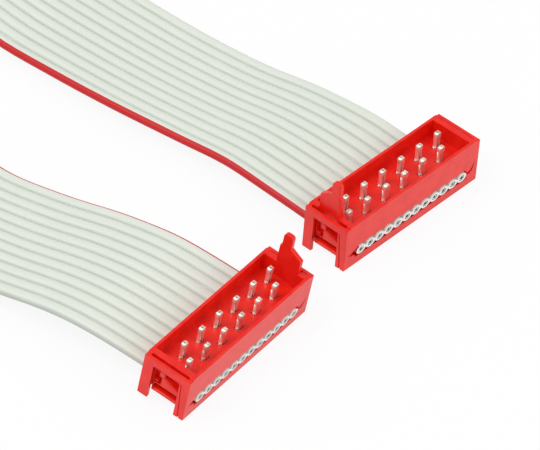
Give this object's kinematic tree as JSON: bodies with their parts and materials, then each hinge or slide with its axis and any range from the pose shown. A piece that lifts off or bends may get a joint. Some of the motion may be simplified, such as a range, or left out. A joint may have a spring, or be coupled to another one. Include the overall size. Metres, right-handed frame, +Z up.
{
  "type": "ribbon cable",
  "caption": "Flat grey ribbon cable with a red edge stripe, looped back on itself between two red shrouded male ribbon connectors with tall polarising keys.",
  "frame": {"origin": "on the surface the connectors stand on, at the middle of the box round the two connectors", "axes": "+Z up, the way the first connector's posts point; +X along the first connector's row of contacts, from its keyed end to its other end; +Y the way the ribbon leaves the first connector"},
  "size_m": [0.0472, 0.1078, 0.0153],
  "materials": {
    "ribbon": "soft grey insulation with a red stripe along one edge conductor",
    "housing": "red moulded plastic, satin",
    "cover": "red moulded plastic, satin",
    "contact": "bright tin plate on copper alloy"
  },
  "bodies": {
    "root": {"ribbon": "ribbon", "housing_a": "housing", "housing_b": "housing", "cover_a": "cover", "cover_b": "cover", "contact_a_01": "contact", "contact_a_02": "contact", "contact_a_03": "contact", "contact_a_04": "contact", "contact_a_05": "contact", "contact_a_06": "contact", "contact_a_07": "contact", "contact_a_08": "contact", "contact_a_09": "contact", "contact_a_10": "contact", "contact_a_11": "contact", "contact_a_12": "contact", "contact_b_01": "contact", "contact_b_02": "contact", "contact_b_03": "contact", "contact_b_04": "contact", "contact_b_05": "contact", "contact_b_06": "contact", "contact_b_07": "contact", "contact_b_08": "contact", "contact_b_09": "contact", "contact_b_10": "contact", "contact_b_11": "contact", "contact_b_12": "contact"}
  },
  "joints": []
}
